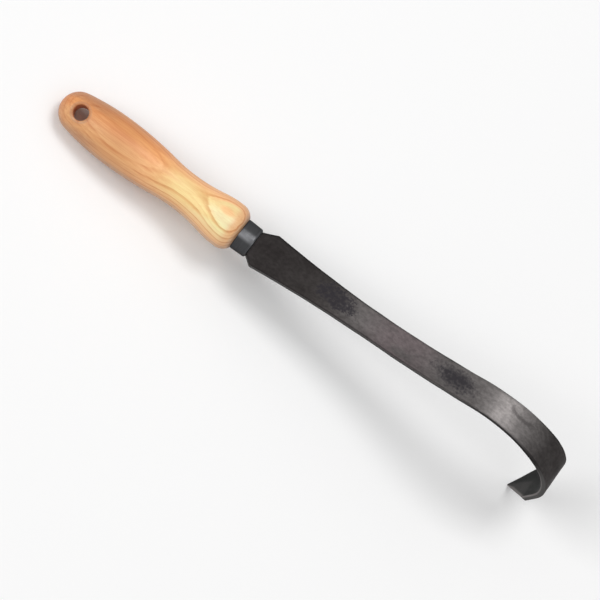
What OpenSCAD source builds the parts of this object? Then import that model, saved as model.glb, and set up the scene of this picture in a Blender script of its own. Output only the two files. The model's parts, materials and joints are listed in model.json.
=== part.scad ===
// Draw hoe with a short turned ash grip. A flat forged strap climbs away from the ferrule,
// turns over a crest and comes down as a spear point. The pieces are drawn along the grip's
// own axis, butt at x = 0, and then set down together so that the butt and the point touch z = 0.

/* [Grip] */
// Length of the grip, from the butt to the ferrule
grip_l = 140; // [125:1:180]
// Radius of the round butt
butt_r = 13.4; // [12:0.1:15]
// Diameter of the palm swell
palm_d = 32.9; // [32:0.1:40]
// Distance of the palm swell from the butt
palm_from_butt = 44; // [40:1:55]
// Diameter of the waist
waist_d = 25.3; // [24:0.1:28]
// Distance of the waist from the ferrule
waist_from_ferrule = 44; // [40:1:52]
// Radius of the hollow that forms the waist, along the grip
waist_hollow_r = 110; // [90:1:130]
// Diameter of the front bulb
bulb_d = 32.1; // [31:0.1:38]
// Distance of the front bulb from the ferrule
bulb_from_ferrule = 9.5; // [8.5:0.1:11]
// Radius that rounds the nose of the grip down to the ferrule
nose_r = 9.5; // [8.5:0.1:11]
// Height of the wood's shoulder around the ferrule
wood_shoulder = 0.4; // [0.2:0.1:1]

/* [Hanging hole] */
// Diameter of the hanging hole
hang_hole_d = 10.4; // [8:0.1:12]
// Distance of the hole's centre from the butt
hang_hole_from_butt = 15.2; // [13:0.1:20]
// Roll of the hole about the grip, away from the strap's normal
hang_hole_roll = 15.5; // [0:0.5:30]

/* [Ferrule] */
// Length of the ferrule
ferrule_l = 11.4; // [9:0.1:20]
// Outside diameter of the ferrule where it meets the wood
ferrule_d = 21.8; // [20:0.1:23]
// Outside diameter of the ferrule at its front
ferrule_front_d = 21.2; // [19.5:0.1:21.8]
// Thickness of the ferrule's wall
ferrule_wall = 1.2; // [0.8:0.1:1.6]
// Thickness of the ferrule's end wall
ferrule_end_wall = 1.6; // [1:0.1:2.5]
// Rounding of the ferrule's front corner
ferrule_round = 1.5; // [0.5:0.1:2]

/* [Tang] */
// Length of the tang behind the blade's shoulder
tang_l = 75; // [50:1:85]
// Width of the tang at the shoulder
tang_w = 9.6; // [8:0.1:10]
// Width of the tang at its end
tang_end_w = 5; // [3:0.1:7]
// Thickness of the tang
tang_t = 3.4; // [2.5:0.1:3.6]
// Diameter of the bore that takes the tang
tang_bore_d = 11; // [10.8:0.1:12.5]
// Room for adhesive behind the end of the tang
bore_past_tang = 6; // [3:0.5:12]

/* [Strap] */
// Thickness of the strap
strap_t = 4; // [3.8:0.1:6]
// Bevel on the strap's long edges
edge_bevel = 0.5; // [0.2:0.1:1]
// Width of the strap where it leaves the ferrule
neck_w = 18.4; // [16:0.1:20]
// Width across the shoulders
shoulder_w = 27.4; // [24:0.1:32]
// Distance of the near shoulder from the ferrule, along the strap
near_shoulder_at = 5.7; // [4:0.1:8]
// Distance of the far shoulder from the ferrule, along the strap
far_shoulder_at = 10.1; // [8.5:0.1:14]
// Width of the strap at its narrowest
waist_w = 18.6; // [16:0.1:22]
// Distance of the narrowest place from the ferrule, along the strap
waist_at = 98; // [80:1:120]
// Width of the strap where it turns over the crest
crest_w = 20.1; // [18:0.1:24]
// Distance of the crest's width from the ferrule, along the strap
crest_at = 190; // [150:1:200]
// How late the strap flares from the crest to the spear
flare_curve = 1.15; // [1:0.05:2]

/* [Bends] */
// Radius of the bend at the neck
neck_bend_r = 68; // [40:1:120]
// Angle at which the strap climbs away from the grip's axis
climb_angle = 7.3; // [3:0.1:10]
// Length of the straight climb
climb_l = 82; // [60:1:110]
// Radius of the upward sweep
sweep_r = 364; // [250:1:500]
// Turn of the upward sweep
sweep_turn = 12.8; // [6:0.1:18]
// Radius of the bend over the crest and down to the spear
hook_r = 53.5; // [40:0.1:65]
// Turn of that bend
hook_turn = 122.4; // [110:0.1:130]

/* [Spear] */
// Length of the straight end below the bend, point included
spear_l = 53; // [48:0.5:75]
// Length of the point
point_l = 39.1; // [30:0.1:46]
// Width across the spear's shoulders
spear_w = 27.2; // [25:0.1:32]
// Width that is left at the blunt tip
tip_w = 1; // [0.6:0.1:3]

/* [Fits] */
// Gap between pieces that are pressed or bonded together
fit_gap = 0.04; // [0.02:0.01:0.1]

/* [Hidden] */
$fn = 96;
arc_steps = 8;
butt_steps = 14;
body_steps = 72;
cut_past = 1;

// Places along the grip's axis
palm_x = palm_from_butt;
waist_x = grip_l - waist_from_ferrule;
bulb_x = grip_l - bulb_from_ferrule;
neck_x = grip_l + ferrule_l;
tang_end_x = neck_x - tang_l;
bore_end_x = tang_end_x - bore_past_tang;

// The tenon fills the ferrule up to its end wall
ferrule_in_r = ferrule_d / 2 - ferrule_wall;
tenon_r = ferrule_in_r - fit_gap;
tenon_end_x = neck_x - ferrule_end_wall - fit_gap;

// The grip's outline is a chain of arcs, each tangent to the next
palm_r = palm_d / 2;
waist_r = waist_d / 2;
bulb_r = bulb_d / 2;
wood_shoulder_r = ferrule_d / 2 + wood_shoulder;
palm_rear_r = (pow(palm_x - butt_r, 2) + pow(palm_r, 2) - pow(butt_r, 2)) / (2 * (palm_r - butt_r));
palm_to_waist = tangent_span(waist_x - palm_x, palm_r - waist_r);
waist_to_bulb = tangent_span(bulb_x - waist_x, bulb_r - waist_r);
palm_front_r = palm_to_waist - waist_hollow_r;
bulb_arc_r = waist_to_bulb - waist_hollow_r;
butt_c = [butt_r, 0];
palm_rear_c = [palm_x, palm_r - palm_rear_r];
palm_front_c = [palm_x, palm_r - palm_front_r];
waist_c = [waist_x, waist_r + waist_hollow_r];
bulb_c = [bulb_x, bulb_r - bulb_arc_r];
nose_end = [grip_l, wood_shoulder_r];
nose_reach = norm(nose_end - bulb_c);
nose_inset = bulb_arc_r - nose_r;
nose_start_a = bearing(bulb_c, nose_end)
    - acos((pow(nose_inset, 2) + pow(nose_reach, 2) - pow(nose_r, 2)) / (2 * nose_inset * nose_reach));
nose_c = bulb_c + nose_inset * [sin(nose_start_a), cos(nose_start_a)];
butt_end_a = bearing(palm_rear_c, butt_c);
palm_end_a = asin((waist_x - palm_x) / palm_to_waist);
bulb_start_a = asin((bulb_x - waist_x) / waist_to_bulb);
grip_outline = concat(
    [[0, 0]],
    arc(butt_c, butt_r, -90, butt_end_a, butt_steps),
    arc(palm_rear_c, palm_rear_r, butt_end_a, 0, arc_steps),
    arc(palm_front_c, palm_front_r, 0, palm_end_a, arc_steps),
    arc(waist_c, waist_hollow_r, 180 + palm_end_a, 180, arc_steps),
    arc(waist_c, waist_hollow_r, 180, 180 - bulb_start_a, arc_steps),
    arc(bulb_c, bulb_arc_r, -bulb_start_a, nose_start_a, arc_steps),
    arc(nose_c, nose_r, nose_start_a, bearing(nose_c, nose_end), arc_steps));

// The strap's centre line is a chain of straight runs and bends, each [length, turn]
strap_runs = [
    [bend_l(neck_bend_r, climb_angle), climb_angle],
    [climb_l, 0],
    [bend_l(sweep_r, sweep_turn), sweep_turn],
    [bend_l(hook_r, hook_turn), -hook_turn],
    [spear_l, 0]];
strap_l = run_total(strap_runs);
point_at = strap_l - point_l;
strap_stations = concat(
    [0, near_shoulder_at, far_shoulder_at],
    [for (i = [1:body_steps]) far_shoulder_at + (point_at - far_shoulder_at) * i / body_steps],
    [strap_l]);

// The pose that the tool is set down in, on its butt and its point
tip_pose = strap_pose(strap_l);
tip_corners = [for (side = [-1, 1]) off_line(tip_pose, side * strap_t / 2)];
rest_tilt = max([for (corner = tip_corners)
    min([for (p = grip_outline) atan2(-p.y - corner.y, corner.x - p.x)])]);
floor_z = min([for (corner = tip_corners) tilted(corner).y]);
back_x = min([for (p = grip_outline) tilted(p).x]);
front_x = max([for (s = strap_stations) tilted(off_line(strap_pose(s), strap_t / 2)).x]);
middle_x = (back_x + front_x) / 2;

// Sum of the radii of two arcs, one convex and one hollow, whose tops lie this far apart
function tangent_span(along, across) = (pow(along, 2) + pow(across, 2)) / (2 * across);

// Direction from one point to another, measured from straight out of the grip's axis
function bearing(from, to) = atan2(to.x - from.x, to.y - from.y);

// Points of an arc after its first one, which the arc before it already holds
function arc(c, r, from, to, steps) =
    [for (i = [1:steps]) let (a = from + (to - from) * i / steps) c + r * [sin(a), cos(a)]];

function bend_l(r, turn) = r * turn * PI / 180;
function run_total(runs, i = 0) = i == len(runs) ? 0 : runs[i][0] + run_total(runs, i + 1);

// One step along a run: [x, z, heading] after a distance with a steady turn
function stepped(pose, distance, turn) =
    let (chord = abs(turn) < 0.001 ? distance : distance * sin(turn / 2) / (turn / 2 * PI / 180))
    [pose.x + chord * cos(pose.z + turn / 2), pose.y + chord * sin(pose.z + turn / 2), pose.z + turn];

// [x, z, heading] of the strap's centre line at a distance from the ferrule
function strap_pose(s, i = 0, pose = [neck_x, 0, 0]) =
    let (run = strap_runs[i], here = min(s, run[0]))
    let (next = stepped(pose, here, run[1] * here / run[0]))
    s <= run[0] || i == len(strap_runs) - 1 ? next : strap_pose(s - run[0], i + 1, next);

// [x, z] at a distance off the centre line, along its normal
function off_line(pose, n) = [pose.x - n * sin(pose.z), pose.y + n * cos(pose.z)];

function tilted(p) =
    [p.x * cos(rest_tilt) - p.y * sin(rest_tilt), p.x * sin(rest_tilt) + p.y * cos(rest_tilt)];

// Half the strap's width at a distance from the ferrule, with the shoulder of that side
function half_width(s, shoulder_at) =
    s <= shoulder_at ? mix(neck_w, shoulder_w, s / shoulder_at) / 2
    : s <= waist_at ? mix(waist_w, shoulder_w, pow((waist_at - s) / (waist_at - shoulder_at), 2)) / 2
    : s <= crest_at ? mix(waist_w, crest_w, (s - waist_at) / (crest_at - waist_at)) / 2
    : s <= point_at ? mix(crest_w, spear_w, pow((s - crest_at) / (point_at - crest_at), flare_curve)) / 2
    : mix(spear_w, tip_w, (s - point_at) / point_l) / 2;
function mix(a, b, share) = a + (b - a) * share;

// Bevelled rectangular section across a pose: near and far half widths, thickness, bevel
function section(pose, near, far, t, bevel) =
    let (h = t / 2, b = min(bevel, near / 2, far / 2))
    [for (q = [[far, h - b], [far - b, h], [b - near, h], [-near, h - b],
               [-near, b - h], [b - near, -h], [far - b, -h], [far, b - h]])
        let (p = off_line(pose, q.y)) [p.x, q.x, p.y]];

tang_sections = [
    section([tang_end_x, 0, 0], tang_end_w / 2, tang_end_w / 2, tang_t, edge_bevel),
    section([neck_x, 0, 0], tang_w / 2, tang_w / 2, tang_t, edge_bevel)];
strap_sections = [for (s = strap_stations)
    section(strap_pose(s), half_width(s, near_shoulder_at), half_width(s, far_shoulder_at),
            strap_t, edge_bevel)];

// Closed skin over a row of sections that all have the same number of points
module skin(sections) {
    n = len(sections[0]);
    rows = len(sections);
    sides = [for (i = [0:rows - 2], j = [0:n - 1]) let (k = (j + 1) % n, a = i * n, b = a + n)
        each [[a + j, b + j, b + k], [a + j, b + k, a + k]]];
    ends = [[for (j = [0:n - 1]) j], [for (j = [n - 1:-1:0]) (rows - 1) * n + j]];
    polyhedron([for (s = sections) each s], concat(sides, ends));
}

// Turns a shape drawn upright about z so that it lies along the grip's axis
module along_grip() rotate([0, 90, 0]) children();

// Turns an outline of [x, radius] about the grip's axis
module turned(outline) along_grip() rotate_extrude() polygon([for (p = outline) [p.y, p.x]]);

module set_down() translate([-middle_x, 0, -floor_z]) rotate([0, -rest_tilt, 0]) children();

module tang_bore(r) translate([bore_end_x, 0, 0]) along_grip() cylinder(r = r, h = neck_x - bore_end_x);

// Pocket that follows the tang's taper, wider than the tang by the gap on every side
module tang_pocket(gap)
    translate([0, 0, -tang_t / 2 - gap]) linear_extrude(tang_t + 2 * gap)
        polygon([for (side = [-1, 1], end = [-side, side])
            [end < 0 ? tang_end_x - gap : neck_x + cut_past,
             side * ((end < 0 ? tang_end_w : tang_w) / 2 + gap)]]);

module handle() {
    color("BurlyWood") set_down() difference() {
        turned(concat(grip_outline, [[grip_l, tenon_r], [tenon_end_x, tenon_r], [tenon_end_x, 0]]));
        tang_bore(tang_bore_d / 2);
        translate([hang_hole_from_butt, 0, 0]) rotate([hang_hole_roll, 0, 0])
            cylinder(d = hang_hole_d, h = 2 * palm_d, center = true);
    }
}

module ferrule() {
    corner = [neck_x - ferrule_round, ferrule_front_d / 2 - ferrule_round];
    color("SlateGray") set_down() difference() {
        turned(concat(
            [[grip_l, ferrule_in_r], [grip_l, ferrule_d / 2], corner + [0, ferrule_round]],
            arc(corner, ferrule_round, 0, 90, arc_steps),
            [[neck_x, 0], [neck_x - ferrule_end_wall, 0], [neck_x - ferrule_end_wall, ferrule_in_r]]));
        tang_pocket(fit_gap);
    }
}

module blade() {
    color("DimGray") set_down() skin(concat(tang_sections, strap_sections));
}

module tang_adhesive() {
    color("Ivory") set_down() difference() {
        intersection() {
            tang_bore(tang_bore_d / 2 - fit_gap);
            translate([bore_end_x, -palm_r, -palm_r]) cube([tenon_end_x - bore_end_x, palm_d, palm_d]);
        }
        tang_pocket(fit_gap);
    }
}

handle();
ferrule();
blade();
tang_adhesive();
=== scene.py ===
"""Looks of a draw hoe: turned ash grip, satin steel ferrule and a forged strap with a spear point."""

import json
import math

import bmesh
import bpy
from bpy.props import FloatProperty, FloatVectorProperty, PointerProperty
from mathutils import Matrix, Vector, noise


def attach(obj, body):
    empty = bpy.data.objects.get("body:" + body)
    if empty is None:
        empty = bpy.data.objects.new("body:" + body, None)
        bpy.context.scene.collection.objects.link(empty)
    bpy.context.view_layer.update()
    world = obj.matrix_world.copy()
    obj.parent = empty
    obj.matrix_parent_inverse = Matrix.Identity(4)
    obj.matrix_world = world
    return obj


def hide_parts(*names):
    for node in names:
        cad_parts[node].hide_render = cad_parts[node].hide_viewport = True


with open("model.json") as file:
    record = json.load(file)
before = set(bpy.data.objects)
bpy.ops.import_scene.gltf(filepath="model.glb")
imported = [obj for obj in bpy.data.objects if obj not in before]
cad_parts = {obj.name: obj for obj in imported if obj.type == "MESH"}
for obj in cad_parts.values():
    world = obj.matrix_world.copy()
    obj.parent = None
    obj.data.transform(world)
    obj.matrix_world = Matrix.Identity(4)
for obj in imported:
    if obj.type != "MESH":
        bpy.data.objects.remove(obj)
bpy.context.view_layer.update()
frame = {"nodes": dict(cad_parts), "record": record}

bl_info = {
    "name": "Draw hoe",
    "version": (1, 0, 0),
    "blender": (4, 5, 0),
    "location": "3D View > Sidebar > Draw hoe",
    "description": "Builds the grip, ferrule, blade and stage of a draw hoe on its CAD frame",
    "category": "Add Mesh",
}

MM = 0.001
MERGE_DISTANCE = 0.002 * MM
# Width of the band along the strap's long edges, which keeps its width where there is room for it
EDGE_ZONE = 2.4 * MM

# The hanging hole places the grip: its axis leans back by the tilt that the tool is set down at
hang_hole = frame["record"]["mounts"][0]
HOLE_CENTRE = Vector(hang_hole["pos_m"])
HOLE_RADIUS = hang_hole["dims"]["r_mm"] * MM
HOLE_ROLL = math.asin(-hang_hole["axis"][1])
REST_TILT = math.atan2(-hang_hole["axis"][0], hang_hole["axis"][2])


def number(name, default, description, **kind):
    return FloatProperty(name=name, description=description, default=default, **kind)


def length(name, default_mm, description):
    """A size in metres, written in millimetres."""
    return number(name, default_mm * MM, description, unit="LENGTH", precision=5)


def angle(name, default_degrees, description):
    """An angle in radians, written in degrees."""
    return number(name, math.radians(default_degrees), description, subtype="ANGLE")


def vector(name, default, description, **kind):
    return FloatVectorProperty(name=name, description=description, default=default, size=3, **kind)


def colour(name, default, description):
    return vector(name, default, description, subtype="COLOR", min=0.0, max=1.0)


class GripSizes(bpy.types.PropertyGroup):
    """Sizes of the turned grip"""
    length: length("Length", 140, "From the butt to the ferrule")
    butt_radius: length("Butt radius", 13.4, "Radius of the round butt")
    palm: length("Palm swell", 32.9, "Diameter of the palm swell")
    palm_from_butt: length("Palm from butt", 44, "Distance of the palm swell from the butt")
    waist: length("Waist", 25.3, "Diameter of the waist")
    waist_from_ferrule: length("Waist from ferrule", 44, "Distance of the waist from the ferrule")
    waist_hollow: length("Waist hollow", 110, "Radius of the hollow that forms the waist")
    bulb: length("Front bulb", 32.1, "Diameter of the front bulb")
    bulb_from_ferrule: length("Bulb from ferrule", 9.5, "Distance of the front bulb from the ferrule")
    nose_radius: length("Nose radius", 9.5, "Rounding of the nose down to the ferrule")
    wood_shoulder: length("Wood shoulder", 0.4, "Height of the wood's shoulder around the ferrule")
    hole_from_butt: length("Hole from butt", 15.2, "Distance of the hanging hole from the butt")
    hole_rim: length("Hole rim", 1.7, "Rounding of the hanging hole's rims")
    tenon: length("Tenon", 19.32, "Diameter of the tenon inside the ferrule")
    tenon_length: length("Tenon length", 9.76, "Length of the tenon inside the ferrule")
    tang_bore: length("Tang bore", 11, "Diameter of the bore that takes the tang")
    tang_bore_depth: length("Tang bore depth", 79.36, "Depth of that bore from the tenon's end")


class FerruleSizes(bpy.types.PropertyGroup):
    """Sizes of the ferrule"""
    length: length("Length", 11.4, "From the wood to the blade")
    rear: length("Rear diameter", 21.8, "Outside diameter at the wood")
    front: length("Front diameter", 21.2, "Outside diameter at the front")
    wall: length("Wall", 1.2, "Thickness of the wall")
    end_wall: length("End wall", 1.6, "Thickness of the end wall")
    rounding: length("Rounding", 1.5, "Rounding of the front corner")
    lip: length("Lip", 0.5, "Rounding of the lip at the wood")
    slot_width: length("Slot width", 9.68, "Width of the tang's slot in the end wall")
    slot_height: length("Slot height", 3.48, "Height of that slot")


class BladeSizes(bpy.types.PropertyGroup):
    """Sizes of the forged blade"""
    thickness: length("Thickness", 4, "Thickness of the strap")
    edge_rounding: length("Edge rounding", 0.55, "Rounding of the long edges")
    neck: length("Neck width", 18.4, "Width where the strap leaves the ferrule")
    shoulder: length("Shoulder width", 27.4, "Width across the shoulders")
    near_shoulder_at: length("Near shoulder", 5.7, "Distance of the near shoulder from the ferrule")
    far_shoulder_at: length("Far shoulder", 10.1, "Distance of the far shoulder from the ferrule")
    waist: length("Waist width", 18.6, "Width of the strap at its narrowest")
    waist_at: length("Waist place", 98, "Distance of the narrowest place from the ferrule")
    crest: length("Crest width", 20.1, "Width where the strap turns over the crest")
    crest_at: length("Crest place", 190, "Distance of the crest's width from the ferrule")
    flare_curve: number("Flare", 1.15, "How late the strap flares to the spear")
    neck_bend: length("Neck bend", 68, "Radius of the bend at the neck")
    climb: angle("Climb", 7.3, "Angle at which the strap climbs away from the grip's axis")
    climb_length: length("Climb length", 82, "Length of the straight climb")
    sweep: length("Sweep", 364, "Radius of the upward sweep")
    sweep_turn: angle("Sweep turn", 12.8, "Turn of the upward sweep")
    hook: length("Hook", 53.5, "Radius of the bend over the crest")
    hook_turn: angle("Hook turn", 122.4, "Turn of that bend")
    spear_length: length("Spear length", 53, "Straight end below the bend, point included")
    point_length: length("Point length", 39.1, "Length of the point")
    spear: length("Spear width", 27.2, "Width across the spear's shoulders")
    tip: length("Tip width", 1, "Width that is left at the blunt tip")
    tang_length: length("Tang length", 75, "Length of the tang behind the neck")
    tang: length("Tang width", 9.6, "Width of the tang at the neck")
    tang_end: length("Tang end", 5, "Width of the tang at its end")
    tang_thickness: length("Tang thickness", 3.4, "Thickness of the tang")
    hammer_depth: length("Hammer marks", 0.16, "Depth of the unevenness that the hammer leaves")


class WoodFinish(bpy.types.PropertyGroup):
    """Colours and grain of the lacquered ash"""
    tan: colour("Tan", (0.772, 0.428, 0.194), "Colour of the wood at the palm")
    honey: colour("Honey", (0.99, 0.575, 0.278), "Colour of the wood's sides at the front")
    pale: colour("Pale", (0.96, 0.81, 0.37), "Colour of the younger growth at the front")
    cream: colour("Cream", (0.93, 0.91, 0.545), "Colour of the outermost growth at the front")
    line: colour("Growth line", (0.79, 0.54, 0.40), "Tint that the growth lines lay over the wood")
    # Painted shade: a grey tint laid low on the grip, at the butt's sides, down the nose and on the
    # hanging hole's rim
    painted_shade: colour("Painted shade", (0.73, 0.75, 0.90), "Tint of older wood, low on the grip and at its ends")
    amber: colour("Amber", (0.98, 0.83, 0.70), "Tint of the palm's far side")
    pore: colour("Pores", (0.16, 0.075, 0.04), "Colour of the open pores")
    hole_wall: colour("Hole wall", (0.72, 0.34, 0.16), "Colour of the hanging hole's drilled wall")
    ring_width: length("Growth ring", 2.8, "Distance from one growth line to the next")
    first_ring: length("First ring", 14.2, "Height of the outermost line above the grip's axis")


class SteelFinish(bpy.types.PropertyGroup):
    """Colours of the ferrule and the blade"""
    ferrule: colour("Ferrule", (0.0475, 0.0480, 0.0504), "Colour of the ferrule's satin coat")
    oxide: colour("Fire scale", (0.0190, 0.0166, 0.0162), "Colour of the dark fire scale")
    bare: colour("Worn steel", (0.178, 0.1655, 0.1625), "Colour of the rubbed steel")
    temper: colour("Temper", (0.186, 0.154, 0.158), "Purple-brown tint that the heat leaves")
    cut: colour("Cut edge", (0.115, 0.112, 0.110), "Colour of the cut edges")
    flake: colour("Thick scale", (0.0235, 0.0215, 0.0250), "Blue-black of the thick scale patches")
    inside: colour("Inner face", (0.064, 0.065, 0.064), "Colour of the strap's inner face")


class StageLook(bpy.types.PropertyGroup):
    """Floor, light and camera"""
    floor: colour("Floor", (0.98, 0.98, 0.98), "Colour of the floor")
    floor_size: length("Floor size", 12000, "Width of the floor")
    sky: number("Sky", 0.85, "Strength of the soft light from overhead")
    sky_edge: number("Sky edge", 0.35, "Rise of the sky's lower edge, from 0 to 1")
    key: number("Key", 272.0, "Power of the large key light, in watts")
    key_size: length("Key size", 4400, "Width and height of the key light")
    key_distance: length("Key distance", 8000, "Distance of the key light")
    key_from: vector("Key from", (-0.58, -0.28, 0.76), "Direction of the key light in the tool's frame",
                     subtype="DIRECTION")
    strip: number("Strip", 41.0, "Power of the overhead strip light, in watts")
    strip_width: length("Strip width", 1350, "Width of the strip light")
    strip_height: length("Strip height", 1120, "Height of the strip light")
    strip_distance: length("Strip distance", 3600, "Distance of the strip light")
    strip_from: vector("Strip from", (0.12, 0.24, 0.963),
                       "Direction of the strip light in the tool's frame", subtype="DIRECTION")
    view_lean: angle("View lean", 18.06, "Lean of the view off the strap's normal")
    view_roll: angle("View roll", -36.95, "Roll of the view about its own axis")
    view_distance: length("View distance", 2000, "Distance of the camera")
    view_width: length("View width", 379.2, "Width of the picture at the tool")
    view_target: vector("View target", (-2.74 * MM, -10.25 * MM, 44.22 * MM),
                        "Point that the camera and the lights face", subtype="TRANSLATION", precision=5)


def tool_matrix(grip):
    """Places the tool's own frame: butt at the origin, +X along the grip, +Z up from the strap."""
    turn = Matrix.Rotation(-REST_TILT, 4, "Y")
    butt = HOLE_CENTRE - turn @ Vector((grip.hole_from_butt, 0, 0))
    return Matrix.Translation(butt) @ turn


# Mesh helpers

def finish_piece(name, bm, place, crease, material, node):
    """Closes a mesh, puts it in place, smooths it up to the crease angle, hangs it under the root body and
    hides its CAD node.
    """
    bmesh.ops.remove_doubles(bm, verts=bm.verts, dist=MERGE_DISTANCE)
    bmesh.ops.transform(bm, matrix=place, verts=bm.verts)
    bmesh.ops.recalc_face_normals(bm, faces=bm.faces)
    for face in bm.faces:
        face.smooth = True
    mesh = bpy.data.meshes.new(name)
    bm.to_mesh(mesh)
    bm.free()
    mesh.set_sharp_from_angle(angle=crease)
    piece = bpy.data.objects.new(name, mesh)
    bpy.context.scene.collection.objects.link(piece)
    mesh.materials.append(material)
    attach(piece, "root")
    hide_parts(node)


def spun(bm, outline, steps, start=0.0):
    """Turns an outline of (x, radius) about the X axis, from a starting angle away from +Z."""
    across = Matrix.Rotation(start, 3, "X") @ Vector((0, 0, 1))
    verts = [bm.verts.new(Vector((x, 0, 0)) + across * r) for x, r in outline]
    edges = [bm.edges.new(pair) for pair in zip(verts[:-1], verts[1:])]
    bmesh.ops.spin(bm, geom=verts + edges, cent=(0, 0, 0), axis=(1, 0, 0), angle=math.tau,
                   steps=steps, use_merge=True)
    bmesh.ops.remove_doubles(bm, verts=bm.verts, dist=MERGE_DISTANCE)


def edge_loops(edges):
    """Splits boundary edges into their separate loops."""
    left = set(edges)
    loops = []
    while left:
        loop = []
        front = [left.pop()]
        while front:
            edge = front.pop()
            loop.append(edge)
            joined = {e for v in edge.verts for e in v.link_edges} & left
            left -= joined
            front.extend(joined)
        loops.append(loop)
    return loops


# Grip

class GripOutline:
    """Radius of the grip along its axis: a chain of arcs, each tangent to the next."""

    def __init__(self, grip, ferrule):
        palm_r, waist_r, bulb_r = grip.palm / 2, grip.waist / 2, grip.bulb / 2
        palm_x = grip.palm_from_butt
        waist_x = grip.length - grip.waist_from_ferrule
        bulb_x = grip.length - grip.bulb_from_ferrule
        hollow = grip.waist_hollow
        butt = grip.butt_radius
        rear_r = ((palm_x - butt) ** 2 + palm_r ** 2 - butt ** 2) / (2 * (palm_r - butt))
        palm_span = self.tangent_span(waist_x - palm_x, palm_r - waist_r)
        bulb_span = self.tangent_span(bulb_x - waist_x, bulb_r - waist_r)
        front_r, bulb_arc = palm_span - hollow, bulb_span - hollow
        bulb_c = Vector((bulb_x, bulb_r - bulb_arc))
        nose_end = Vector((grip.length, ferrule.rear / 2 + grip.wood_shoulder))
        reach = nose_end - bulb_c
        inset = bulb_arc - grip.nose_radius
        bend = math.acos((inset ** 2 + reach.length_squared - grip.nose_radius ** 2)
                         / (2 * inset * reach.length))
        nose_a = math.atan2(reach.x, reach.y) - bend
        nose_c = bulb_c + inset * Vector((math.sin(nose_a), math.cos(nose_a)))
        rear_c = Vector((palm_x, palm_r - rear_r))
        butt_a = math.atan2(butt - rear_c.x, -rear_c.y)
        # Each arc: where it ends, its centre, its radius and the side that it bulges to
        self.arcs = [
            (palm_x + rear_r * math.sin(butt_a), Vector((butt, 0)), butt, 1),
            (palm_x, rear_c, rear_r, 1),
            (palm_x + front_r * (waist_x - palm_x) / palm_span,
             Vector((palm_x, palm_r - front_r)), front_r, 1),
            (bulb_x - bulb_arc * (bulb_x - waist_x) / bulb_span,
             Vector((waist_x, waist_r + hollow)), hollow, -1),
            (nose_c.x + grip.nose_radius * math.sin(nose_a), bulb_c, bulb_arc, 1),
            (grip.length, nose_c, grip.nose_radius, 1)]

    @staticmethod
    def tangent_span(along, across):
        """Sum of the radii of two arcs, one convex and one hollow, whose tops lie this far apart."""
        return (along ** 2 + across ** 2) / (2 * across)

    def radius(self, x):
        for end, centre, r, side in self.arcs:
            if x <= end:
                break
        return centre.y + side * math.sqrt(max(0.0, r ** 2 - (x - centre.x) ** 2))


def on_hole_axis(x, y, height):
    """A point given across and along the hanging hole, in the tool's frame."""
    return Matrix.Rotation(HOLE_ROLL, 3, "X") @ Vector((x, y, height))


def open_hang_hole(bm, grip, outline, window_x, window_a, side):
    """Opens a window on one side, fits a rounded rim into it and returns the rim's inner loop."""
    out = on_hole_axis(0, 0, side)
    inside = []
    for face in bm.faces:
        centre = face.calc_center_median()
        across = Vector((0, centre.y, centre.z))
        if abs(centre.x - grip.hole_from_butt) < window_x and across.angle(out, math.pi) < window_a:
            inside.append(face)
    bmesh.ops.delete(bm, geom=inside, context="FACES")
    window = [e for e in bm.edges if e.is_boundary and (e.verts[0].co + e.verts[1].co).dot(out) > 0]

    def rim_point(direction, reach, drop):
        x, y = grip.hole_from_butt + reach * direction.x, reach * direction.y
        height = math.sqrt(outline.radius(x) ** 2 - y ** 2) - drop
        return on_hole_axis(x, y, side * height)

    circle = bmesh.ops.create_circle(bm, segments=len(window), radius=1.0)
    directions = {v: v.co.xy.normalized() for v in circle["verts"]}
    loop = list({e for v in circle["verts"] for e in v.link_edges})
    for v, direction in directions.items():
        v.co = rim_point(direction, HOLE_RADIUS + grip.hole_rim, 0)
    bridge = bmesh.ops.bridge_loops(bm, edges=window + loop)
    spokes = [e for e in bridge["edges"] if e not in loop and e not in window]
    spoke_cuts = 3
    split = bmesh.ops.subdivide_edges(bm, edges=spokes, cuts=spoke_cuts)
    for v in {v for v in split["geom_inner"] if isinstance(v, bmesh.types.BMVert)}:
        across = Vector((0, v.co.y, v.co.z)).normalized()
        v.co = Vector((v.co.x, 0, 0)) + across * outline.radius(v.co.x)

    rim_steps = 6
    rim_break = math.radians(35)
    quarter = math.radians(90)
    for step in range(1, rim_steps + 1):
        a = rim_break + (quarter - rim_break) * step / rim_steps
        inward = (1 - math.sin(a)) / (1 - math.sin(rim_break))
        down = (math.cos(rim_break) - math.cos(a)) / math.cos(rim_break)
        grown = bmesh.ops.extrude_edge_only(bm, edges=loop)["geom"]
        loop = [g for g in grown if isinstance(g, bmesh.types.BMEdge)
                and all(v in grown for v in g.verts)]
        for v in {v for e in loop for v in e.verts}:
            flat = Matrix.Rotation(-HOLE_ROLL, 3, "X") @ v.co
            direction = Vector((flat.x - grip.hole_from_butt, flat.y)).normalized()
            v.co = rim_point(direction, HOLE_RADIUS + grip.hole_rim * inward, grip.hole_rim * down)
    return loop


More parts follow.
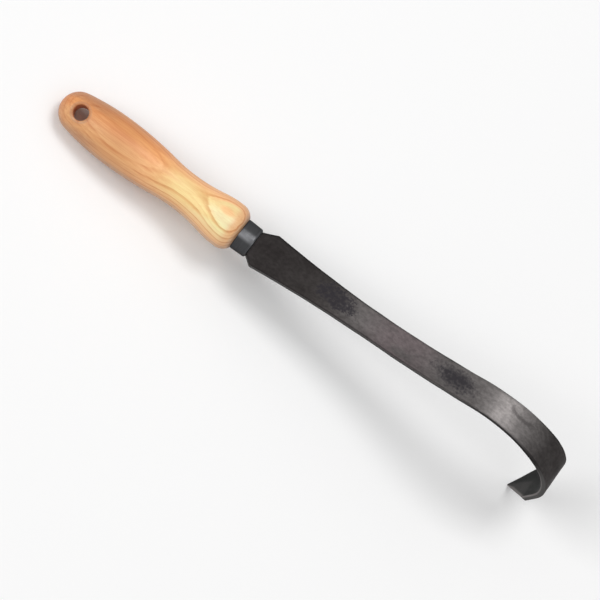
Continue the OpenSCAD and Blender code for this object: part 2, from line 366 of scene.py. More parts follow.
def build_grip(grip, ferrule, material):
    """Turns the grip, with its tenon and tang bore, and cuts the hanging hole through it."""
    outline = GripOutline(grip, ferrule)
    turn_steps = 72
    window_steps, window_cells = 7, 10
    window_margin = 1.9 * grip.hole_rim
    window_x = HOLE_RADIUS + window_margin
    window_start = grip.hole_from_butt - window_x
    window_end = grip.hole_from_butt + window_x

    cap_a = math.acos(1 - window_start / grip.butt_radius)
    cap_steps = 9
    stations = [grip.butt_radius * (1 - math.cos(cap_a * i / cap_steps)) for i in range(cap_steps)]
    stations += [window_start + 2 * window_x * i / window_cells for i in range(window_cells)]
    nose_start = outline.arcs[-2][0]
    body_cells, nose_cells = 64, 14
    stations += [window_end + (nose_start - window_end) * i / body_cells for i in range(body_cells)]
    stations += [nose_start + (grip.length - nose_start) * math.sin(math.pi / 2 * i / nose_cells)
                 for i in range(nose_cells + 1)]

    shell = [(x, outline.radius(x)) for x in stations]
    tenon_end = grip.length + grip.tenon_length
    bore_end = tenon_end - grip.tang_bore_depth
    core = [(grip.length, grip.tenon / 2), (tenon_end, grip.tenon / 2), (tenon_end, grip.tang_bore / 2),
            (bore_end, grip.tang_bore / 2), (bore_end, 0)]
    bm = bmesh.new()
    spun(bm, shell + core, turn_steps, HOLE_ROLL + math.pi / 2)
    window_a = math.tau * window_steps / turn_steps
    rims = [open_hang_hole(bm, grip, outline, window_x, window_a, side) for side in (1, -1)]
    wall = bmesh.ops.bridge_loops(bm, edges=rims[0] + rims[1])
    across = [e for e in wall["edges"] if e not in rims[0] and e not in rims[1]]
    wall_cuts = 5
    bmesh.ops.subdivide_edges(bm, edges=across, cuts=wall_cuts)
    finish_piece("grip", bm, tool_matrix(grip), math.radians(40), material, "handle")


# Ferrule

def build_ferrule(grip, ferrule, material):
    """Spins the drawn cap and cuts the tang's slot in its end wall."""
    start, end = grip.length, grip.length + ferrule.length
    inner = ferrule.rear / 2 - ferrule.wall
    rear, front, r = ferrule.rear / 2, ferrule.front / 2, ferrule.rounding
    slot_margin = 1.05
    slot_reach = slot_margin * math.hypot(ferrule.slot_width, ferrule.slot_height) / 2
    turn_steps, corner_steps = 96, 8
    quarter = [math.radians(90) * i / corner_steps for i in range(corner_steps + 1)]
    lip = ferrule.lip
    outline = [(end - ferrule.end_wall, slot_reach), (end - ferrule.end_wall, inner), (start, inner)]
    outline += [(start + lip * (1 - math.sin(a)), rear - lip * (1 - math.cos(a)))
                for a in reversed(quarter)]
    outline += [(end - r + r * math.sin(a), front - r + r * math.cos(a)) for a in quarter]
    outline += [(end, slot_reach)]
    bm = bmesh.new()
    spun(bm, outline, turn_steps)
    slot_loops = []
    for loop in edge_loops([e for e in bm.edges if e.is_boundary]):
        x = loop[0].verts[0].co.x
        place = Matrix.Translation((x, 0, 0)) @ Matrix.Rotation(math.pi / 2, 4, "Y")
        shape = Matrix.Diagonal((ferrule.slot_height / 2, ferrule.slot_width / 2, 1, 1))
        slot = bmesh.ops.create_circle(bm, segments=4, radius=math.sqrt(2),
                                       matrix=place @ shape @ Matrix.Rotation(math.pi / 4, 4, "Z"))
        slot_edges = list({e for v in slot["verts"] for e in v.link_edges})
        bmesh.ops.bridge_loops(bm, edges=loop + slot_edges)
        slot_loops += slot_edges
    bmesh.ops.bridge_loops(bm, edges=slot_loops)
    finish_piece("ferrule_cap", bm, tool_matrix(grip), math.radians(35), material,
                 "ferrule")


# Blade

def strap_runs(blade):
    """The strap's centre line as straight runs and bends, each (length, turn)."""
    return [
        (blade.neck_bend * blade.climb, blade.climb),
        (blade.climb_length, 0.0),
        (blade.sweep * blade.sweep_turn, blade.sweep_turn),
        (blade.hook * blade.hook_turn, -blade.hook_turn),
        (blade.spear_length, 0.0)]


def strap_length(blade):
    return sum(run for run, turn in strap_runs(blade))


def strap_pose(blade, start_x, s):
    """x, z and heading of the strap's centre line at a distance from the ferrule."""
    x, z, heading = start_x, 0.0, 0.0
    if s < 0:
        return x + s, z, heading
    for run, turn in strap_runs(blade):
        here = min(s, run)
        bend = turn * here / run
        chord = here if abs(bend) < 1e-6 else here * math.sin(bend / 2) / (bend / 2)
        x += chord * math.cos(heading + bend / 2)
        z += chord * math.sin(heading + bend / 2)
        heading += bend
        s -= here
        if s <= 0:
            break
    return x, z, heading


def strap_half_width(blade, s, shoulder_at):
    """Half the width at a distance from the ferrule, with the shoulder of that side."""
    point_at = strap_length(blade) - blade.point_length

    def blend(a, b, share):
        return (a + (b - a) * share) / 2

    if s < 0:
        return blend(blade.tang, blade.tang_end, -s / blade.tang_length)
    if s <= shoulder_at:
        return blend(blade.neck, blade.shoulder, s / shoulder_at)
    if s <= blade.waist_at:
        fall = (blade.waist_at - s) / (blade.waist_at - shoulder_at)
        return blend(blade.waist, blade.shoulder, fall ** 2)
    if s <= blade.crest_at:
        return blend(blade.waist, blade.crest, (s - blade.waist_at) / (blade.crest_at - blade.waist_at))
    if s <= point_at:
        share = (s - blade.crest_at) / (point_at - blade.crest_at)
        return blend(blade.crest, blade.spear, share ** blade.flare_curve)
    return blend(blade.spear, blade.tip, (s - point_at) / blade.point_length)


def bar_blank(blade):
    """A straight bar with rounded long edges, cut into cells that the forging can move."""
    total = strap_length(blade)
    half_w, half_t = blade.shoulder / 2, blade.thickness / 2
    bm = bmesh.new()
    size = Matrix.Diagonal((total + blade.tang_length, 2 * half_w, 2 * half_t, 1))
    middle = Matrix.Translation(((total - blade.tang_length) / 2, 0, 0))
    bmesh.ops.create_cube(bm, size=1.0, matrix=middle @ size)
    long_edges = [e for e in bm.edges if abs(e.verts[0].co.x - e.verts[1].co.x) > total]
    bmesh.ops.bevel(bm, geom=long_edges, offset=blade.edge_rounding, offset_type="OFFSET",
                    affect="EDGES", segments=3, profile=0.5, material=-1)
    step, before_tip, before_neck = 2.2 * MM, 0.6 * MM, 0.001 * MM
    point_at = total - blade.point_length
    cuts = [-before_neck, 0.0, blade.near_shoulder_at, blade.far_shoulder_at, point_at,
            total - before_tip]
    cuts += [step * i for i in range(1, int(total / step))]
    rows = 9
    edge_row = half_w - EDGE_ZONE
    lanes = [edge_row * (2 * i / rows - 1) for i in range(rows + 1)]
    planes = [((s, 0, 0), (1, 0, 0)) for s in cuts] + [((0, y, 0), (0, 1, 0)) for y in lanes]
    for point, normal in planes:
        geom = bm.verts[:] + bm.edges[:] + bm.faces[:]
        bmesh.ops.bisect_plane(bm, geom=geom, dist=1e-7, plane_co=point, plane_no=normal)
    return bm


def hammered(place, wavelength, seed):
    """Smooth unevenness from -1 to 1 that the hammer leaves."""
    return noise.noise(Vector(place) / wavelength + Vector((seed, seed, seed)))


def build_blade(grip, ferrule, blade, material):
    """Forges the blank to width, bends it along its line and keeps its flat place for the finish."""
    bm = bar_blank(blade)
    total = strap_length(blade)
    neck_x = grip.length + ferrule.length
    blank_half = blade.shoulder / 2
    neck_fade, tip_fade = 6 * MM, 12 * MM
    blows, dents, edge_waves = 23 * MM, 7 * MM, 14 * MM
    flat_layer = bm.verts.layers.float_vector.new("strap_place")
    edge_layer = bm.verts.layers.float.new("cut_edge")
    for v in bm.verts:
        s, y, n = v.co
        side = 1 if y > 0 else -1
        shoulder_at = blade.far_shoulder_at if side > 0 else blade.near_shoulder_at
        half = strap_half_width(blade, s, shoulder_at)
        zone = min(EDGE_ZONE, half / 2)
        inset = blank_half - abs(y)
        on_edge = max(0.0, 1 - inset / EDGE_ZONE)
        if inset < EDGE_ZONE:
            y = side * (half - inset * zone / EDGE_ZONE)
        else:
            y = y / (blank_half - EDGE_ZONE) * (half - zone)
        if s < 0:
            n *= blade.tang_thickness / blade.thickness
        fade = max(0.0, min(1.0, s / neck_fade, (total - s) / tip_fade))
        depth = blade.hammer_depth * fade
        n += depth * (hammered((s, y, 0), blows, 3.1) + 0.5 * hammered((s, y, 0), dents, 8.7))
        y += side * on_edge * depth * 1.2 * hammered((s, 0, 0), edge_waves, 5.3 * side)
        v[flat_layer] = (s, y, n)
        v[edge_layer] = on_edge
        x, z, heading = strap_pose(blade, neck_x, s)
        v.co = (x - n * math.sin(heading), y, z + n * math.cos(heading))
    finish_piece("forged_blade", bm, tool_matrix(grip), math.radians(38), material,
                 "blade")


# Material helpers

class Nodes:
    """Fills a shader node tree by short calls: a value is a number, a colour or a linked socket."""

    def __init__(self, tree):
        self.tree = tree

    def fill(self, node, inputs):
        """Sets a node's sockets or links them."""
        for name, value in inputs.items():
            if isinstance(value, bpy.types.NodeSocket):
                self.tree.links.new(value, node.inputs[name])
            else:
                node.inputs[name].default_value = value

    def add(self, kind, inputs=None, output=0, **settings):
        """Adds a node, sets it up and returns one of its outputs."""
        node = self.tree.nodes.new("ShaderNode" + kind)
        for name, value in settings.items():
            setattr(node, name, value)
        self.fill(node, inputs or {})
        return node.outputs[output]

    def maths(self, operation, a, *others, clamp=False):
        """Works on a value alone, or with each of the others in turn."""
        for b in others or (0.0,):
            a = self.add("Math", {0: a, 1: b}, operation=operation, use_clamp=clamp)
        return a

    def plus(self, *values, clamp=False):
        return self.maths("ADD", *values, clamp=clamp)

    def less(self, a, b, clamp=False):
        return self.maths("SUBTRACT", a, b, clamp=clamp)

    def times(self, *values, clamp=False):
        return self.maths("MULTIPLY", *values, clamp=clamp)

    def larger(self, *values):
        return self.maths("MAXIMUM", *values)

    def unsigned(self, a):
        return self.maths("ABSOLUTE", a)

    def centred(self, value, swing):
        """Noise that swings either side of zero."""
        return self.times(self.less(value, 0.5), swing)

    def eased(self, value, low, high, to_low=0.0, to_high=1.0):
        """A smooth step of a value between two limits."""
        return self.add("MapRange", {0: value, 1: low, 2: high, 3: to_low, 4: to_high},
                        interpolation_type="SMOOTHSTEP")

    def faded(self, value, low, high):
        """A smooth step that falls from 1 to 0."""
        return self.eased(value, low, high, 1.0, 0.0)

    def mixed(self, share, a, b, blend="MIX"):
        """Mixes two colours."""
        a, b = (c if isinstance(c, bpy.types.NodeSocket) else (*c, 1.0) for c in (a, b))
        return self.add("Mix", {0: share, 6: a, 7: b}, 2, data_type="RGBA", blend_type=blend)

    def layered(self, colour, layers, blend="MIX"):
        """Lays colours over another in turn, each (share, colour)."""
        for share, layer in layers:
            colour = self.mixed(share, colour, layer, blend)
        return colour

    def split(self, place):
        return self.add("SeparateXYZ", {0: place}).node.outputs

    def placed(self, matrix):
        """Object coordinates in the frame of a matrix."""
        coordinates = self.add("TexCoord", output="Object")
        return self.add("Mapping", {"Vector": coordinates, "Location": matrix.translation,
                                    "Rotation": matrix.to_euler()}, vector_type="TEXTURE")

    def stretched(self, place, scale):
        """Scales coordinates, so that a pattern gets a length of its own each way."""
        return self.add("VectorMath", {0: place, 1: scale}, operation="MULTIPLY")

    def clouds(self, place, wavelength, detail=2.0, roughness=0.5, along=None):
        """Noise with a wavelength in metres, drawn out along the piece by a factor below 1."""
        if along:
            place = self.stretched(place, (along, 1.0, 1.0))
        return self.add("TexNoise", {"Vector": place, "Scale": 1 / wavelength, "Detail": detail,
                                     "Roughness": roughness})

    def patch(self, place, centre, reach, turn, ragged, fade):
        """A patch round a place, with an edge broken up by a ragged value: 1 inside, 0 outside."""
        away = self.add("Mapping", {"Vector": place, "Location": centre, "Scale": reach,
                                    "Rotation": (0, 0, turn)}, vector_type="TEXTURE")
        ball = self.add("TexGradient", {0: away}, "Fac", gradient_type="SPHERICAL")
        return self.eased(self.plus(ball, ragged), *fade)

    def ramp(self, s, total, stops):
        """Levels given along the strap, each (millimetres from the ferrule, level)."""
        level = self.add("ValToRGB", {0: self.maths("DIVIDE", s, total)})
        elements = level.node.color_ramp.elements
        while len(elements) < len(stops):
            elements.new(0.5)
        for element, (at, value) in zip(elements, stops):
            element.position = at * MM / total
            element.color = (value, value, value, 1.0)
        return level

    def bump(self, height, strength, distance):
        return self.add("Bump", {"Height": height, "Strength": strength, "Distance": distance})

    def handled(self, place, amount):
        """Change of roughness that handling leaves."""
        return self.add("Group", {"Place": place, "Amount": amount}, "Gloss change",
                        node_tree=handling_group())


def handling_group():
    """Smudges and fine scuffs that break up the gloss of every handled surface."""
    found = bpy.data.node_groups.get("handling_marks")
    if found:
        return found
    group = bpy.data.node_groups.new("handling_marks", "ShaderNodeTree")
    group.interface.new_socket("Place", in_out="INPUT", socket_type="NodeSocketVector")
    group.interface.new_socket("Amount", in_out="INPUT", socket_type="NodeSocketFloat")
    group.interface.new_socket("Gloss change", in_out="OUTPUT", socket_type="NodeSocketFloat")
    given = group.nodes.new("NodeGroupInput").outputs
    t = Nodes(group)
    smudge = t.clouds(given["Place"], 11 * MM, 3.0)
    scuff = t.clouds(given["Place"], 0.55 * MM, 4.0, 0.65)
    both = t.plus(t.times(smudge, 0.65), t.times(scuff, 0.35))
    change = t.centred(both, given["Amount"])
    t.fill(group.nodes.new("NodeGroupOutput"), {"Gloss change": change})
    return group


def new_material(name):
    """A material, its node tree to fill and its Principled shader."""
    material = bpy.data.materials.new(name)
    material.use_nodes = True
    tree = material.node_tree
    return material, Nodes(tree), tree.nodes["Principled BSDF"]


# Ash

def growth_height(t, place):
    """Height above the grip's axis as the growth rings see it: bowed across and wandering along."""
    _, y, z = t.split(place)
    drift = t.clouds(place, 19 * MM, along=0.35)
    ripple = t.clouds(place, 6.5 * MM, along=0.3)
    feather = t.clouds(place, 0.9 * MM, along=0.05)
    wander = t.plus(t.centred(drift, 3.4 * MM), t.centred(ripple, 1.1 * MM))
    bow_radius = 110 * MM
    bow = t.times(y, y, 1 / (2 * bow_radius))
    return t.plus(z, bow, wander, t.centred(feather, 0.4 * MM)), wander


def growth_lines(t, rings, streak):
    """Early wood of each ring: sharp outside, fading inwards, broken up and stronger in some years."""
    year = t.maths("FLOOR", rings)
    share = t.less(rings, year)
    chance = t.add("TexWhiteNoise", {"W": year}, "Value", noise_dimensions="1D")
    first = t.times(t.eased(share, 0.0, 0.09), t.faded(share, 0.09, 0.42))
    second = t.times(t.eased(share, 0.52, 0.6), t.eased(share, 0.6, 0.8, 0.4, 0.0))
    line = t.times(first, t.eased(chance, 0.0, 1.0, 0.8, 1.0))
    line = t.plus(line, t.times(second, chance))
    return t.times(line, t.eased(streak, 0.25, 0.7, 0.75, 1.0), clamp=True)


def ash_material(grip, finish):
    """Lacquered ash: growth rings as a solid, with fibres and pores along the grip."""
    material, t, shader = new_material("lacquered_ash")
    tool = tool_matrix(grip)
    place = t.placed(tool)
    x, y, z = t.split(place)
    from_ferrule = t.less(x, grip.length)
    fibre = t.clouds(place, 0.32 * MM, 3.0, 0.6, along=0.02)
    streak = t.clouds(place, 1.9 * MM, along=0.04)
    blush = t.clouds(place, 34 * MM, along=0.5)
    figure = t.clouds(place, 4.5 * MM, 3.0, along=0.1)
    pores = t.clouds(place, 0.21 * MM, 1.0, along=0.045)

    # Growth lines, fainter at the palm and on the outermost wood
    height, wander = growth_height(t, place)
    rings = t.maths("DIVIDE", t.less(finish.first_ring, height), finish.ring_width)
    deeper = t.eased(rings, 0.2, 1.2, 0.0, 0.25 * grip.length)
    lined = t.eased(t.plus(x, deeper), 0.55 * grip.length, 0.9 * grip.length, 0.55, 1.0)
    line = t.times(growth_lines(t, rings, streak), t.eased(rings, -0.7, -0.2, 0.6, 1.0), lined)

    # Wood between the lines: tan at the palm, and at the front honey sides with young sapwood on top
    front = t.eased(from_ferrule, -95 * MM, -59 * MM)
    nose = t.eased(from_ferrule, -73 * MM, -42 * MM)
    palm = t.less(1.0, nose)
    middle = t.plus(y, 4.5 * MM)
    aside = t.unsigned(t.plus(middle, t.times(wander, 0.8)))
    sap = t.times(t.eased(height, 4.5 * MM, 13.5 * MM, 0.25, 1.0), t.faded(aside, 4.5 * MM, 14 * MM))
    sap = t.larger(sap, t.eased(rings, -0.35, 0.05, 0.85, 0.0))
    sap = t.times(sap, t.eased(from_ferrule, -10 * MM, -4.5 * MM, 1.0, 0.15))
    # The near flank at the front: paler, with more cream and less figure and fibre
    front_near_flank = t.times(t.eased(from_ferrule, -45 * MM, -28 * MM), t.faded(y, -11 * MM, -7 * MM))
    outermost = t.eased(rings, -0.3, 0.3, 1.0, t.times(front_near_flank, 0.5))
    outermost = t.times(outermost, t.eased(y, -3 * MM, 2 * MM, 1.0, 0.3))
    young = t.mixed(outermost, finish.pale, finish.cream)
    heart_at = (grip.length - 14 * MM, 1.8 * MM, grip.bulb / 2)
    heart_reach = (7.5 * MM, 4.3 * MM, 9 * MM)
    heart = t.patch(place, heart_at, heart_reach, 0.0, t.centred(streak, 0.5), (0.1, 0.7))
    wood = t.layered(t.mixed(front, finish.tan, finish.honey), [
        (t.times(sap, nose), young),
        (t.eased(blush, 0.4, 0.7, 0.0, 0.18), finish.honey),
        (t.times(heart, 0.65), finish.honey)])

    # Tints over the wood: painted shade, the palm's far side, streaks, end grain with painted shade,
    # figure, lines and fibres
    # Painted shade: darker at the butt's sides, low on the grip and down the nose to the ferrule
    butt_sides = t.times(t.eased(x, 20 * MM, 45 * MM, 0.75, 0.0),
                         t.eased(t.unsigned(middle), 6.5 * MM, 10 * MM))
    nose_end = t.larger(t.eased(from_ferrule, -11 * MM, -6 * MM, 0.0, 0.22),
                        t.eased(from_ferrule, -4 * MM, -1.5 * MM, 0.0, 0.9))
    painted_shade = t.larger(t.faded(z, 0.5 * MM, 4.5 * MM), butt_sides, nose_end)
    wood = t.layered(wood, [
        (painted_shade, finish.painted_shade),
        (t.times(palm, t.eased(y, -7 * MM, 0.0)), finish.amber),
        (t.times(palm, t.eased(streak, 0.38, 0.62, 0.0, 0.36)), finish.line),
        # The round butt darker towards its end: end grain, with painted shade
        (t.eased(x, 0.0, 10 * MM, 0.4, 0.0), finish.line),
        (t.eased(figure, 0.4, 0.65, 0.0, t.eased(front_near_flank, 0.0, 1.0, 0.2, 0.0)), finish.line),
        (line, finish.line),
        (t.eased(fibre, 0.35, 0.75, 0.0, t.eased(front_near_flank, 0.0, 1.0, 0.42, 0.16)), finish.line)],
        "MULTIPLY")

    # Open pores, painted shade with some dirt in the joint with the ferrule, and the drilled hole with
    # painted shade on its rim
    pore = t.times(t.eased(pores, 0.62, 0.72), t.eased(line, 0.2, 0.8, 0.1, 1.0))
    # Painted shade, with some dirt, where the wood meets the ferrule
    joint = t.eased(from_ferrule, -1.6 * MM, -0.5 * MM, 0.0, 0.55)
    wood = t.layered(wood, [(t.times(pore, 0.3), finish.pore), (joint, finish.pore)])
    hole_at = Matrix.Translation((grip.hole_from_butt, 0, 0))
    hole_frame = tool @ hole_at @ Matrix.Rotation(HOLE_ROLL, 4, "X")
    off_axis = t.stretched(t.placed(hole_frame), (1.0, 1.0, 0.0))
    reach = t.less(t.add("VectorMath", {0: off_axis}, "Value", operation="LENGTH"), HOLE_RADIUS)
    # Painted shade: a darker ring on the hole's rounded rim
    rim = t.eased(reach, 0.8 * grip.hole_rim, 1.5 * grip.hole_rim, 0.8, 0.0)
    wood = t.mixed(rim, wood, finish.painted_shade, "MULTIPLY")
    wood = t.mixed(t.faded(reach, 0.0, 0.25 * grip.hole_rim), wood, finish.hole_wall)

    rough = t.plus(t.handled(place, 0.22), t.times(line, 0.10), 0.46)
    relief = t.less(t.times(fibre, 0.35), pore)
    t.fill(shader, {"Base Color": wood, "Roughness": rough,
                    "Normal": t.bump(relief, 0.35, 0.05 * MM), "Specular IOR Level": 0.38,
                    "Coat Weight": 0.12, "Coat Roughness": 0.3})
    return material


# Steel

def ferrule_material(grip, finish):
    """Satin blue-grey coat with faint rings from the drawing die, lighter at the rim from wear, with a
    painted highlight along its upper near side.
    """
    material, t, shader = new_material("satin_ferrule")
    place = t.placed(tool_matrix(grip))
    x, y, z = t.split(place)
    from_wood = t.less(x, grip.length)
    die = t.clouds(t.stretched(place, (1.0, 0.03, 0.03)), 0.4 * MM, 3.0, 0.6)
    wear_and_sheen = t.clouds(place, 2.5 * MM, 3.0, 0.6, along=0.6)
    rim = t.eased(from_wood, 9.2 * MM, 11.2 * MM, 0.0, 0.25)
    # Painted highlight: a lighter band along the coat's upper near side, broken up by noise
    aside = t.unsigned(t.plus(y, 3.3 * MM))
    painted_highlight = t.times(t.eased(z, 6 * MM, 9 * MM), t.faded(aside, 0.0, 3.0 * MM),
                  t.eased(wear_and_sheen, 0.35, 0.6, 0.75, 1.0), t.eased(from_wood, 7 * MM, 10 * MM, 1.0, 0.6))
    lighter = finish.ferrule * 3
    coat = t.layered(finish.ferrule, [
        (rim, lighter),
        (painted_highlight, finish.ferrule * 4),
        (t.eased(die, 0.35, 0.7, 0.0, 0.13), lighter)])
    t.fill(shader, {"Base Color": coat, "Roughness": t.plus(t.handled(place, 0.25), 0.33),
                    "Normal": t.bump(die, 0.25, 0.03 * MM), "Metallic": 0.9,
                    "Specular Tint": (0.4, 0.4, 0.4, 1.0)})
    return material


def speckle(t, place):
    """Blotches with ragged edges."""
    coarse = t.clouds(place, 6.0 * MM, 3.0, 0.6)
    fine = t.clouds(place, 1.5 * MM, 3.0, 0.6)
    return t.plus(t.times(coarse, 0.8), t.times(fine, 0.7))


def flaking(t, place):
    """The two patches where thick scale is left on the strap, chipped through in places."""
    blotches = speckle(t, place)
    chips = t.clouds(place, 2.3 * MM, 4.0, 0.66, along=0.8)
    slant = math.radians(-6)
    near_reach, far_reach = (22 * MM, 10 * MM, 40 * MM), (24 * MM, 10 * MM, 40 * MM)
    near = t.patch(place, (63 * MM, 0.8 * MM, 0), near_reach, slant, blotches, (1.02, 1.24))
    far = t.patch(place, (155 * MM, 0, 0), far_reach, slant, blotches, (0.90, 1.46))
    near = t.times(near, t.eased(chips, 0.36, 0.54, 0.3, 1.0))
    far = t.times(far, t.eased(chips, 0.36, 0.54, 0.7, 1.0))
    return t.larger(near, far)


def crest_mark(t, place):
    """A dark curved smear that the bending left across the crest."""
    s, y, _ = t.split(place)
    along = t.less(s, 205 * MM)
    curve = t.times(along, along, 0.027 / MM)
    ragged = t.centred(t.clouds(place, 4 * MM, 5.0, 0.65), 8 * MM)
    off = t.less(t.plus(y, ragged), t.plus(curve, 1.8 * MM))
    return t.times(t.faded(t.unsigned(off), 0.3 * MM, 2.8 * MM), t.eased(s, 188 * MM, 197 * MM),
                   t.eased(s, 206 * MM, 216 * MM, 0.4, 0.0))


def forged_material(finish, blade):
    """Forged steel: dark fire scale at both ends, grey between where the scale has come off, with a
    painted sheen over the crest, and flaking patches.
    """
    material, t, shader = new_material("forged_black_steel")
    place = t.add("Attribute", output="Vector", attribute_name="strap_place")
    edge = t.add("Attribute", output="Fac", attribute_name="cut_edge")
    s, y, n = t.split(place)
    total = strap_length(blade)
    cloud = t.clouds(place, 12 * MM, 3.0, 0.55, along=0.5)
    mottle = t.clouds(place, 2.2 * MM, 4.0, 0.65, along=0.7)
    grit = t.clouds(place, 0.45 * MM, 3.0, 0.65)
    drawn = t.clouds(place, 0.5 * MM, 2.0, 0.6, along=0.03)

    # How far the fire scale has come off, with a painted sheen over the crest in the same levels
    rubbed_and_sheen = t.ramp(s, total, [
        (0, 0.0), (40, 0.02), (62, 0.13), (88, 0.42), (110, 0.48), (150, 0.46), (172, 0.56), (184, 0.69),
        (207, 0.72), (218, 0.40), (230, 0.18), (245, 0.30), (262, 0.42), (280, 0.50), (330, 0.49)])
    # Painted shade: the near half of the strap darker up to the crest
    near_half_shade = t.eased(s, 166 * MM, 184 * MM, 0.7, 1.0)
    rubbed_and_sheen = t.times(rubbed_and_sheen, t.eased(y, -9 * MM, -1 * MM, near_half_shade, 1.0))
    uneven = t.centred(cloud, t.eased(rubbed_and_sheen, 0.0, 0.5, 0.12, 0.5))
    rubbed_and_sheen = t.plus(rubbed_and_sheen, uneven, clamp=True)
    rubbed_and_sheen = t.less(rubbed_and_sheen, crest_mark(t, place), clamp=True)

    # The broad faces: scale, rubbed steel, the tint of the heat and the darker inner face with painted
    # shade towards its far side, all mottled
    heat = t.times(t.eased(s, 78 * MM, 108 * MM), t.faded(s, 118 * MM, 150 * MM),
                   t.eased(cloud, 0.2, 0.48))
    steel = t.mixed(rubbed_and_sheen, finish.oxide, t.mixed(heat, finish.bare, finish.temper))
    inner = t.faded(n, -1.7 * MM, -0.9 * MM)
    # Painted shade: the inner face darker towards the far side
    inside = t.mixed(t.eased(y, -9 * MM, 5 * MM), finish.inside, finish.inside * 0.72)
    steel = t.mixed(inner, steel, inside)
    tone = t.eased(mottle, 0.25, 0.75, 0.78, 1.22)
    steel = t.mixed(1.0, steel, t.add("CombineColor", {0: tone, 1: tone, 2: tone}), "MULTIPLY")
    fleck_reach = (22 * MM, 24 * MM, 40 * MM)
    flecks = t.patch(place, (276 * MM, 0, 0), fleck_reach, 0.0, speckle(t, place), (0.93, 1.34))
    flecks = t.times(flecks, t.eased(mottle, 0.47, 0.62, 0.0, 0.9), t.less(1.0, inner))
    patches = flaking(t, place)

    # The long edges: a dark line at the corner, partly scale and partly painted shade, the cut itself, and
    # on the near side of the hook wear with a painted highlight
    near = t.faded(y, -1 * MM, 1 * MM)
    polished = t.times(t.eased(rubbed_and_sheen, 0.35, 0.62), t.eased(y, -1 * MM, 1 * MM, 0.5, 1.0))
    hooked = t.times(near, t.eased(s, 225 * MM, 245 * MM))
    # A dark line along the rounded corners in the colour of dark scale, partly painted shade
    corner = t.times(t.eased(edge, 0.5, 0.66), t.eased(edge, 0.9, 0.97, 0.6, 0.0),
                     t.less(1.0, polished), t.less(1.0, hooked))
    light = t.ramp(s, total, [(0, 1.0), (150, 1.0), (186, 0.25), (228, 0.25), (246, 1.0), (330, 1.0)])
    cut = t.mixed(1.0, finish.cut, light, "MULTIPLY")
    point_at = total - blade.point_length
    # Wear with a painted highlight: the near side of the hook and the point lighter, on the side the light
    # falls on
    wear_and_sheen = t.times(t.eased(edge, 0.6, 0.88), t.eased(s, 215 * MM, 245 * MM))
    pointed = t.times(t.eased(edge, -0.2, 0.6), t.eased(s, point_at - 4 * MM, point_at + 2 * MM))
    wear_and_sheen = t.times(t.larger(wear_and_sheen, pointed), near, t.eased(n, -1.75 * MM, -0.6 * MM, 0.95, 0.0))
    scoured_and_sheen = finish.bare * 1.5
    steel = t.layered(steel, [
        (flecks, scoured_and_sheen),
        (t.times(patches, 0.9), finish.flake),
        (corner, finish.oxide * 0.7),
        (t.eased(edge, 0.92, 0.99, 0.0, 0.85), cut),
        (wear_and_sheen, scoured_and_sheen)])

    rough = t.plus(t.handled(place, 0.24), t.times(patches, 0.12))
    rough = t.less(rough, t.times(rubbed_and_sheen, 0.08))
    relief = t.plus(t.times(grit, 0.5), t.times(drawn, 0.25))
    relief = t.less(relief, t.times(patches, 0.8))
    t.fill(shader, {"Base Color": steel, "Roughness": t.plus(rough, 0.46),
                    "Normal": t.bump(relief, 0.45, 0.06 * MM), "Metallic": 0.92,
                    "Specular Tint": (0.35, 0.35, 0.35, 1.0)})
    return material


def epoxy_material():
    """Cured filled adhesive, cloudy and matt."""
    material, t, shader = new_material("cured_epoxy")
    place = t.add("TexCoord", output="Object")
    resin, filler = (0.74, 0.69, 0.55), (0.86, 0.83, 0.73)
    t.fill(shader, {"Base Color": t.mixed(t.clouds(place, 1.4 * MM, 3.0), resin, filler),
                    "Roughness": t.plus(t.handled(place, 0.2), 0.6)})
    return material


# Stage

def area_light(name, power, size, direction, distance, target):
    """A rectangular lamp that stands off in a direction and faces the tool."""
    lamp = bpy.data.lights.new(name, "AREA")
    lamp.shape = "RECTANGLE"
    lamp.size, lamp.size_y = size
    lamp.energy = power
    light = bpy.data.objects.new(name, lamp)
    bpy.context.scene.collection.objects.link(light)
    away = direction.normalized()
    light.location = target + away * distance
    light.rotation_euler = away.to_track_quat("Z", "Y").to_euler()


def build_floor(stage):
    bm = bmesh.new()
    bmesh.ops.create_grid(bm, x_segments=1, y_segments=1, size=stage.floor_size / 2)
    mesh = bpy.data.meshes.new("floor")
    bm.to_mesh(mesh)
    bm.free()
    floor = bpy.data.objects.new("floor", mesh)
    bpy.context.scene.collection.objects.link(floor)
    material, t, shader = new_material("pale_floor")
    t.fill(shader, {"Base Color": (*stage.floor, 1.0), "Roughness": 0.9, "Specular IOR Level": 0.1})
    mesh.materials.append(material)


def build_world(stage):
    """Soft light from overhead, which looks white to the camera and in reflections."""
    world = bpy.data.worlds.new("studio")
    bpy.context.scene.world = world
    world.use_nodes = True
    t = Nodes(world.node_tree)
    path = t.add("LightPath").node.outputs
    seen = t.larger(path["Is Camera Ray"], path["Is Glossy Ray"], path["Is Transmission Ray"])
    up = t.split(t.add("TexCoord", output="Generated"))["Z"]
    soft = t.add("MapRange", {0: up, 1: stage.sky_edge, 4: stage.sky})
    strength = t.add("MapRange", {0: seen, 3: soft, 4: 1.0})
    t.fill(world.node_tree.nodes["Background"], {"Strength": strength, "Color": (1.0, 1.0, 1.0, 1.0)})


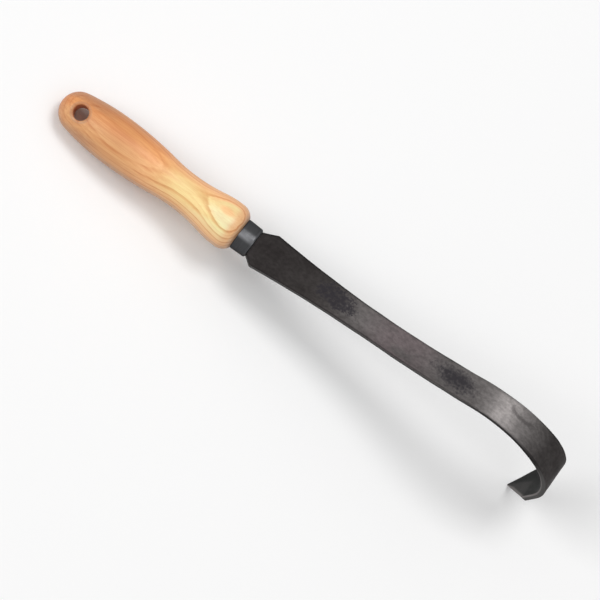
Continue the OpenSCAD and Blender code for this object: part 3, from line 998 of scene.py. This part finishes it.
def build_camera(stage, turn):
    """A camera that leans off the strap's normal and rolls as the picture does."""
    lens = bpy.data.cameras.new("camera")
    lens.sensor_fit = "HORIZONTAL"
    lens.angle = 2 * math.atan(stage.view_width / 2 / stage.view_distance)
    lens.clip_start, lens.clip_end = 0.05, 50.0
    camera = bpy.data.objects.new("camera", lens)
    bpy.context.scene.collection.objects.link(camera)
    lean = Matrix.Rotation(stage.view_lean, 4, "X")
    roll = Matrix.Rotation(-stage.view_roll, 4, "Z")
    back = Matrix.Translation((0, 0, stage.view_distance))
    target = Matrix.Translation(stage.view_target)
    camera.matrix_world = target @ turn.to_4x4() @ lean @ roll @ back
    bpy.context.scene.camera = camera


# Operators

class DRAWHOE_OT_stage(bpy.types.Operator):
    """Adds the floor, the light and the camera"""
    bl_idname = "draw_hoe.stage"
    bl_label = "Stage"

    def execute(self, context):
        stage = context.scene.hoe_stage
        turn = tool_matrix(context.scene.hoe_grip).to_3x3()
        build_floor(stage)
        build_world(stage)
        build_camera(stage, turn)
        area_light("key", stage.key, (stage.key_size, stage.key_size), turn @ stage.key_from,
                   stage.key_distance, stage.view_target)
        strip_size = (stage.strip_width, stage.strip_height)
        area_light("strip", stage.strip, strip_size, turn @ stage.strip_from, stage.strip_distance,
                   stage.view_target)
        context.scene.view_settings.view_transform = "Standard"
        return {"FINISHED"}


class DRAWHOE_OT_grip(bpy.types.Operator):
    """Turns the ash grip and drills its hanging hole"""
    bl_idname = "draw_hoe.grip"
    bl_label = "Grip"

    def execute(self, context):
        scene = context.scene
        build_grip(scene.hoe_grip, scene.hoe_ferrule, ash_material(scene.hoe_grip, scene.hoe_wood))
        return {"FINISHED"}


class DRAWHOE_OT_ferrule(bpy.types.Operator):
    """Draws the ferrule over the grip's tenon"""
    bl_idname = "draw_hoe.ferrule"
    bl_label = "Ferrule"

    def execute(self, context):
        scene = context.scene
        build_ferrule(scene.hoe_grip, scene.hoe_ferrule,
                      ferrule_material(scene.hoe_grip, scene.hoe_steel))
        return {"FINISHED"}


class DRAWHOE_OT_blade(bpy.types.Operator):
    """Forges the tang, strap, hook and spear point from one bar"""
    bl_idname = "draw_hoe.blade"
    bl_label = "Blade"

    def execute(self, context):
        scene = context.scene
        build_blade(scene.hoe_grip, scene.hoe_ferrule, scene.hoe_blade,
                    forged_material(scene.hoe_steel, scene.hoe_blade))
        return {"FINISHED"}


class DRAWHOE_OT_adhesive(bpy.types.Operator):
    """Finishes the adhesive that holds the tang"""
    bl_idname = "draw_hoe.adhesive"
    bl_label = "Adhesive"

    def execute(self, context):
        mesh = frame["nodes"]["tang_adhesive"].data
        mesh.materials.clear()
        mesh.materials.append(epoxy_material())
        return {"FINISHED"}


class DRAWHOE_PT_panel(bpy.types.Panel):
    """Lists the steps of the build"""
    bl_idname = "DRAWHOE_PT_panel"
    bl_label = "Draw hoe"
    bl_space_type = "VIEW_3D"
    bl_region_type = "UI"
    bl_category = "Draw hoe"

    def draw(self, context):
        for operator in OPERATORS:
            self.layout.operator(operator.bl_idname)
        for name, group in GROUPS.items():
            box = self.layout.box()
            box.label(text=group.__doc__)
            for size in group.__annotations__:
                box.prop(getattr(context.scene, name), size)


GROUPS = {"hoe_grip": GripSizes, "hoe_ferrule": FerruleSizes, "hoe_blade": BladeSizes,
          "hoe_wood": WoodFinish, "hoe_steel": SteelFinish, "hoe_stage": StageLook}
OPERATORS = (DRAWHOE_OT_stage, DRAWHOE_OT_grip, DRAWHOE_OT_ferrule, DRAWHOE_OT_blade,
             DRAWHOE_OT_adhesive)
CLASSES = (*GROUPS.values(), *OPERATORS, DRAWHOE_PT_panel)


def register():
    for cls in CLASSES:
        bpy.utils.register_class(cls)
    for name, group in GROUPS.items():
        setattr(bpy.types.Scene, name, PointerProperty(type=group))


def unregister():
    for name in GROUPS:
        delattr(bpy.types.Scene, name)
    for cls in reversed(CLASSES):
        bpy.utils.unregister_class(cls)


def main():
    register()
    bpy.ops.draw_hoe.stage()
    bpy.ops.draw_hoe.grip()
    bpy.ops.draw_hoe.ferrule()
    bpy.ops.draw_hoe.blade()
    bpy.ops.draw_hoe.adhesive()


if __name__ == "__main__":
    main()
